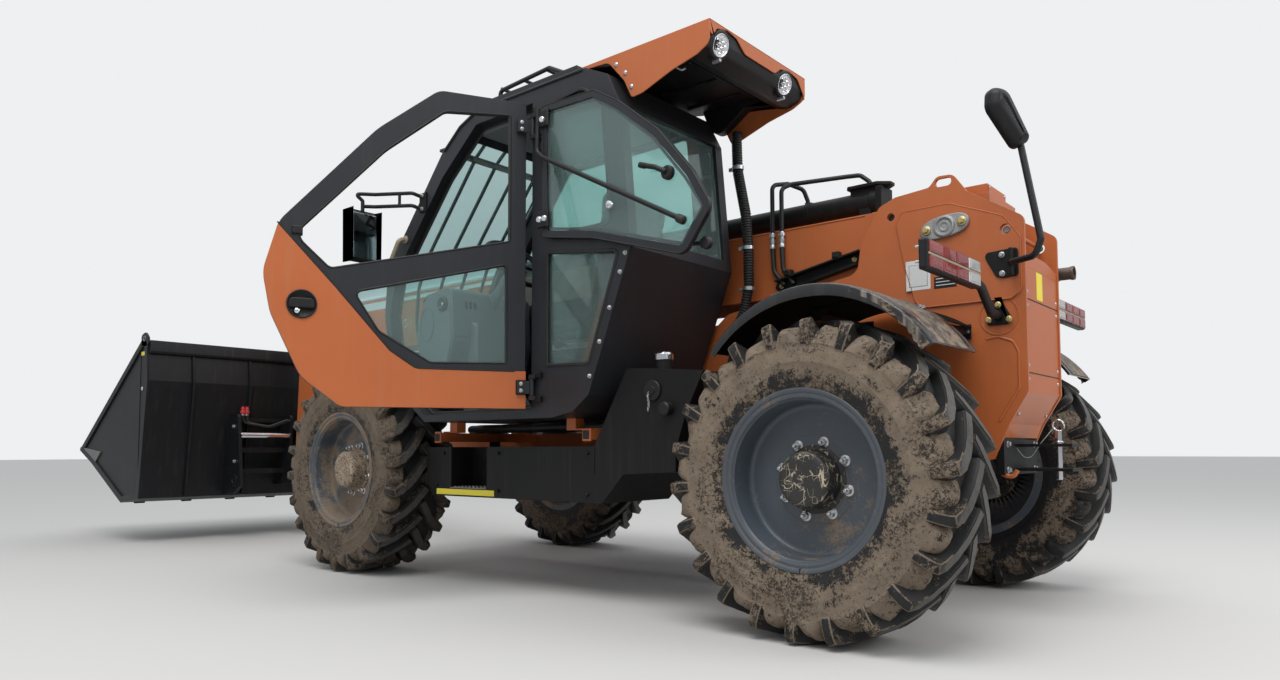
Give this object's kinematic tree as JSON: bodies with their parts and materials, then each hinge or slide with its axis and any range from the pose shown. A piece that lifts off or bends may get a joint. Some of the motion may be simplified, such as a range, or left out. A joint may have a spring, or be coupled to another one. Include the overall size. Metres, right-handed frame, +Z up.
{
  "type": "telehandler",
  "caption": "Compact telescopic handler with a side cab, an open door, a level extended boom and a curled bucket.",
  "frame": {"origin": "middle of the tow hitch's jaw, on its pin's axis, in the machine's centre plane; the floor is 0.67 m below it and the rear axle 0.598 m in front of it", "axes": "+X forwards to the bucket, +Y to the machine's left, the cab's side, +Z up along the hitch pin"},
  "size_m": [7.5423, 3.3223, 2.6234],
  "materials": {
    "orange_paint": "gloss paint",
    "black_paint": "satin paint",
    "bucket_paint": "satin paint",
    "gloss_black": "gloss",
    "tyre_rubber": "matt, muddy",
    "rim_paint": "satin paint",
    "axle_casting": "painted casting",
    "window_glass": "clear, green tint",
    "chrome_rod": "polished",
    "zinc_steel": "zinc plated",
    "seat_fabric": "woven",
    "grey_plastic": "moulded",
    "black_plastic": "moulded",
    "lamp_red": "lens",
    "hose_rubber": "matt",
    "engine_casting": "raw",
    "exhaust_steel": "heat stained"
  },
  "bodies": {
    "frame": {"axle_front": "axle_casting", "axle_rear": "axle_casting", "frame_left": "orange_paint", "frame_right": "orange_paint", "frame_cross": "orange_paint", "boom_pin": "zinc_steel", "tow_hitch": "black_paint", "rear_cover": "orange_paint", "cab_shell": "black_paint", "cab_glass": "window_glass", "cab_roof": "black_paint", "visor": "orange_paint", "guard_and_rack": "black_paint", "seat": "seat_fabric", "dash": "grey_plastic", "steering_wheel": "black_plastic", "upper_leaf": "black_paint", "leaf_glass": "window_glass", "tank": "black_paint", "engine_pod": "black_paint", "engine_block": "engine_casting", "exhaust": "exhaust_steel", "fender_left": "gloss_black", "fender_right": "gloss_black", "mirrors": "black_plastic", "tail_lamps": "lamp_red"},
    "boom": {"boom_outer": "orange_paint", "extend_barrel": "black_paint", "boom_hoses": "hose_rubber"},
    "boom_inner": {"boom_inner": "orange_paint", "extend_rod": "chrome_rod"},
    "bucket": {"carriage": "bucket_paint", "bucket": "bucket_paint"},
    "lift_barrel": {"lift_barrel": "black_paint"},
    "lift_rod": {"lift_rod": "chrome_rod"},
    "tilt_barrel": {"tilt_barrel": "black_paint"},
    "tilt_rod": {"tilt_rod": "chrome_rod"},
    "door": {"door_frame": "black_paint", "door_panel": "orange_paint", "door_glass": "window_glass"},
    "hood": {"hood": "orange_paint"},
    "knuckle_fl": {"knuckle_fl": "axle_casting"},
    "wheel_fl": {"tyre_fl": "tyre_rubber", "rim_fl": "rim_paint"},
    "knuckle_fr": {"knuckle_fr": "axle_casting"},
    "wheel_fr": {"tyre_fr": "tyre_rubber", "rim_fr": "rim_paint"},
    "knuckle_rl": {"knuckle_rl": "axle_casting"},
    "wheel_rl": {"tyre_rl": "tyre_rubber", "rim_rl": "rim_paint"},
    "knuckle_rr": {"knuckle_rr": "axle_casting"},
    "wheel_rr": {"tyre_rr": "tyre_rubber", "rim_rr": "rim_paint"}
  },
  "joints": [
    {"name": "steer_fl", "type": "hinge", "parent": "frame", "child": "knuckle_fl", "pos_m": [3.648, 0.82, -0.075], "axis": [0, 0, 1], "range_deg": [-35, 35]},
    {"name": "spin_fl", "type": "hinge", "parent": "knuckle_fl", "child": "wheel_fl", "pos_m": [3.648, 0.9, -0.075], "axis": [0, 1, 0], "continuous": true},
    {"name": "steer_fr", "type": "hinge", "parent": "frame", "child": "knuckle_fr", "pos_m": [3.648, -0.82, -0.075], "axis": [0, 0, 1], "range_deg": [-35, 35]},
    {"name": "spin_fr", "type": "hinge", "parent": "knuckle_fr", "child": "wheel_fr", "pos_m": [3.648, -0.9, -0.075], "axis": [0, 1, 0], "continuous": true},
    {"name": "steer_rl", "type": "hinge", "parent": "frame", "child": "knuckle_rl", "pos_m": [0.598, 0.82, -0.075], "axis": [0, 0, 1], "range_deg": [-35, 35]},
    {"name": "spin_rl", "type": "hinge", "parent": "knuckle_rl", "child": "wheel_rl", "pos_m": [0.598, 0.9, -0.075], "axis": [0, 1, 0], "continuous": true},
    {"name": "steer_rr", "type": "hinge", "parent": "frame", "child": "knuckle_rr", "pos_m": [0.598, -0.82, -0.075], "axis": [0, 0, 1], "range_deg": [-35, 35]},
    {"name": "spin_rr", "type": "hinge", "parent": "knuckle_rr", "child": "wheel_rr", "pos_m": [0.598, -0.9, -0.075], "axis": [0, 1, 0], "continuous": true},
    {"name": "boom_lift", "type": "hinge", "parent": "frame", "child": "boom", "pos_m": [0.359, 0, 0.976], "axis": [0, -1, 0], "range_deg": [-3, 60]},
    {"name": "boom_extend", "type": "slide", "parent": "boom", "child": "boom_inner", "axis": [1, 0, 0], "range_m": [-0.9, 1.1]},
    {"name": "bucket_tilt", "type": "hinge", "parent": "boom_inner", "child": "bucket", "pos_m": [5.798, 0, -0.15], "axis": [0, 1, 0], "range_deg": [-10, 75]},
    {"name": "lift_swing", "type": "hinge", "parent": "frame", "child": "lift_barrel", "pos_m": [1.158, 0, -0.05], "axis": [0, -1, 0], "range_deg": [-8, 60]},
    {"name": "lift_stroke", "type": "slide", "parent": "lift_barrel", "child": "lift_rod", "axis": [0.8853, 0, 0.465], "range_m": [-0.09, 1.3]},
    {"name": "tilt_swing", "type": "hinge", "parent": "boom_inner", "child": "tilt_barrel", "pos_m": [5.588, 0, 0.83], "axis": [0, 1, 0], "range_deg": [-5, 6]},
    {"name": "tilt_stroke", "type": "slide", "parent": "tilt_barrel", "child": "tilt_rod", "axis": [0.5105, 0, -0.8599], "range_m": [-0.065, 0.48]},
    {"name": "door_swing", "type": "hinge", "parent": "frame", "child": "door", "pos_m": [2.028, 1.066, 0.93], "axis": [0, 0, 1], "range_deg": [-63, 27]},
    {"name": "hood_lift", "type": "hinge", "parent": "frame", "child": "hood", "pos_m": [2.098, -0.29, 0.766], "axis": [-1, 0, 0], "range_deg": [0, 75]}
  ],
  "couplings": [
    {"joint": "steer_fr", "follows": "steer_fl", "ratio": 1},
    {"joint": "steer_rr", "follows": "steer_rl", "ratio": 1},
    {"joint": "lift_swing", "follows": "boom_lift", "ratio": 0.8507},
    {"joint": "lift_stroke", "follows": "boom_lift", "m_per_rad": 1.2014},
    {"joint": "tilt_swing", "follows": "bucket_tilt", "ratio": 0.0244},
    {"joint": "tilt_stroke", "follows": "bucket_tilt", "m_per_rad": 0.3528}
  ]
}
